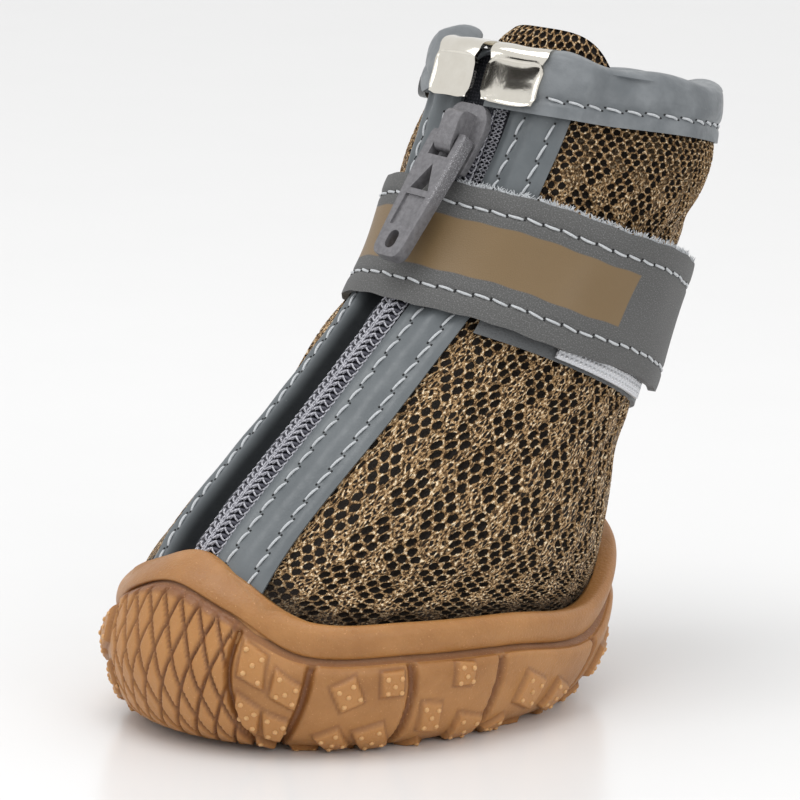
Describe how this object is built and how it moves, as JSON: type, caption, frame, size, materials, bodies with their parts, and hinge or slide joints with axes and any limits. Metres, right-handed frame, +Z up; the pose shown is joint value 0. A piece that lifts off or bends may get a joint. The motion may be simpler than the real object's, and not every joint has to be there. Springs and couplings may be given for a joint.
{
  "type": "dog boot",
  "caption": "Zip-front dog boot with a moulded rubber cup sole, a mesh shaft and a hook-and-loop ankle strap.",
  "frame": {"origin": "middle of the tread's flat contact face, which rests on the floor", "axes": "+Z up and out of the ground contact, -Y towards the toe, +X towards the wearer's left"},
  "size_m": [0.0574, 0.099, 0.0879],
  "materials": {
    "gum_rubber": "satin moulded gum rubber",
    "lining": "matt knit over foam",
    "spacer_mesh": "open brown spacer mesh",
    "leatherette": "smooth satin leatherette",
    "zip_tape": "woven polyester tape",
    "zip_coil": "nylon coil with stitching threads",
    "slider_metal": "satin gunmetal lacquer on zinc casting",
    "nickel": "bright nickel plate",
    "strap_webbing": "dark brushed loop fabric",
    "hook_tape": "white hook tape",
    "reflective_strap": "fine-grained reflective cloth"
  },
  "bodies": {
    "boot": {"outsole": "gum_rubber", "insole": "lining", "upper": "spacer_mesh", "tongue": "spacer_mesh", "facing_left": "leatherette", "facing_right": "leatherette", "zip_tape": "zip_tape", "zip_chain": "zip_coil", "zip_slider": "slider_metal", "collar_binding": "leatherette", "clip_left": "nickel", "clip_right": "nickel", "strap_base": "strap_webbing", "hook_tape": "hook_tape", "strap_outer": "reflective_strap"},
    "pull_tab": {"zip_pull": "slider_metal"}
  },
  "joints": [
    {"name": "pull_hinge", "type": "hinge", "parent": "boot", "child": "pull_tab", "pos_m": [0.00127, 0.01373, 0.07402], "axis": [-0.9985, 0.0325, 0.0443], "range_deg": [0, 105]}
  ]
}
